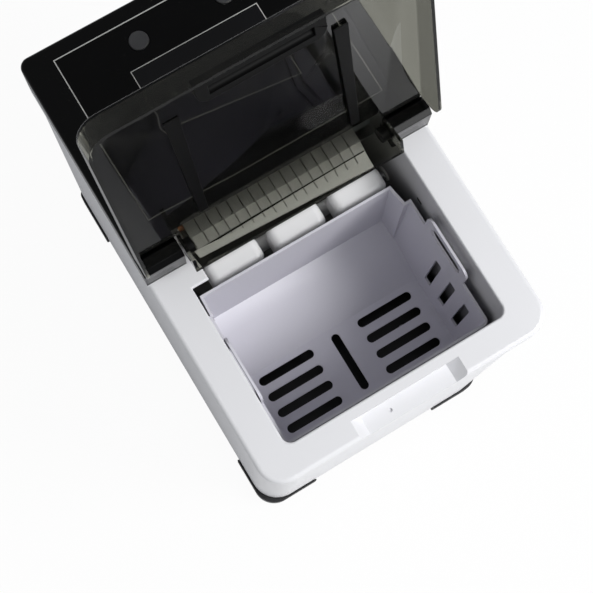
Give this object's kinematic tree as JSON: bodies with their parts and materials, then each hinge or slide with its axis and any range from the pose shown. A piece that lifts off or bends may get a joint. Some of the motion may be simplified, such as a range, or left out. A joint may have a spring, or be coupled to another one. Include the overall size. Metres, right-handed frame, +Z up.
{
  "type": "countertop ice maker",
  "caption": "Countertop ice maker with an open smoked lid, lift-out ice basket, tilting water tray, ice shovel, cooling machine and white body.",
  "frame": {"origin": "middle of the footprint on the table, under the foot pads", "axes": "+X to the right seen from the front, +Y to the back, +Z up"},
  "size_m": [0.242, 0.362, 0.5346],
  "materials": {
    "white_body": "soft gloss",
    "tank_white": "satin",
    "basket_grey": "satin",
    "shovel_white": "gloss",
    "black_gloss": "high gloss",
    "panel_black": "high gloss",
    "smoked_clear": "clear gloss, smoked",
    "grip_black": "satin",
    "foot_black": "matte",
    "pad_rubber": "matte",
    "foam": "matte",
    "zinc_sheet": "satin",
    "steel": "satin",
    "copper": "satin",
    "nickel": "polished",
    "fin_aluminium": "satin",
    "compressor_black": "semi-gloss",
    "board_green": "satin",
    "dark_lens": "high gloss",
    "light_clear": "clear",
    "button_grey": "satin",
    "machine_black": "satin",
    "machine_white": "satin",
    "hose_clear": "satin",
    "vent_white": "satin",
    "drain_grey": "satin"
  },
  "bodies": {
    "cabinet": {"body_shell": "white_body", "top_deck": "white_body", "water_tank": "tank_white", "insulation_foam": "foam", "base_pan": "zinc_sheet", "foot_front_left": "foot_black", "foot_front_right": "foot_black", "foot_rear_left": "foot_black", "foot_rear_right": "foot_black", "foot_pads": "pad_rubber", "hinge_cap_left": "black_gloss", "hinge_cap_right": "black_gloss", "hinge_pins": "steel", "rear_housing": "black_gloss", "control_panel": "panel_black", "display_lens": "dark_lens", "light_pipes": "light_clear", "display_board": "board_green", "control_board": "board_green", "board_posts": "machine_white", "shaft_bushes": "machine_white", "tray_motor": "steel", "evaporator_plate": "nickel", "evaporator_fingers": "nickel", "evaporator_bracket": "machine_white", "chute_cover": "shovel_white", "ice_level_sensors": "machine_black", "water_pump": "machine_black", "pump_hose": "hose_clear", "drain_pipe": "hose_clear", "compressor": "compressor_black", "compressor_base": "zinc_sheet", "compressor_grommets": "pad_rubber", "compressor_bolts": "steel", "condenser": "fin_aluminium", "fan_shroud": "machine_black", "fan_motor": "machine_black", "filter_drier": "copper", "drier_pipe": "copper", "liquid_pipe": "copper", "suction_pipe": "copper", "discharge_pipe": "copper", "rear_panel": "vent_white", "rear_panel_screws": "steel", "power_inlet": "machine_black"},
    "lid": {"lid_shell": "smoked_clear", "lid_ribs": "grip_black", "lid_grip": "grip_black"},
    "basket": {"ice_basket": "basket_grey"},
    "shovel": {"ice_shovel": "shovel_white", "shovel_shaft": "steel"},
    "tray": {"water_tray": "machine_white", "tray_shaft": "steel"},
    "fan": {"fan_rotor": "machine_white"},
    "power_key": {"power_button": "button_grey"},
    "select_key": {"select_button": "button_grey"},
    "drain_plug": {"drain_cap": "drain_grey"}
  },
  "joints": [
    {"name": "lid_hinge", "type": "hinge", "parent": "cabinet", "child": "lid", "pos_m": [0, 0, 0.3555], "axis": [-1, 0, 0], "range_deg": [-109, 0]},
    {"name": "basket_lift", "type": "slide", "parent": "cabinet", "child": "basket", "axis": [0, 0, 1], "range_m": [0, 0.17]},
    {"name": "tray_tilt", "type": "hinge", "parent": "cabinet", "child": "tray", "pos_m": [0, 0.062, 0.275], "axis": [1, 0, 0], "range_deg": [0, 40]},
    {"name": "shovel_swing", "type": "hinge", "parent": "cabinet", "child": "shovel", "pos_m": [0, -0.004, 0.248], "axis": [-1, 0, 0], "range_deg": [0, 20]},
    {"name": "fan_spin", "type": "hinge", "parent": "cabinet", "child": "fan", "pos_m": [0.041, 0.133, 0.1], "axis": [0, 1, 0], "continuous": true},
    {"name": "power_press", "type": "slide", "parent": "cabinet", "child": "power_key", "axis": [0, 0, -1], "range_m": [0, 0.0008], "stiffness_N_per_m": 600},
    {"name": "select_press", "type": "slide", "parent": "cabinet", "child": "select_key", "axis": [0, 0, -1], "range_m": [0, 0.0008], "stiffness_N_per_m": 600},
    {"name": "drain_pull", "type": "slide", "parent": "cabinet", "child": "drain_plug", "axis": [1, 0, 0], "range_m": [0, 0.025]}
  ],
  "couplings": [
    {"joint": "shovel_swing", "follows": "tray_tilt", "ratio": 0.5}
  ]
}
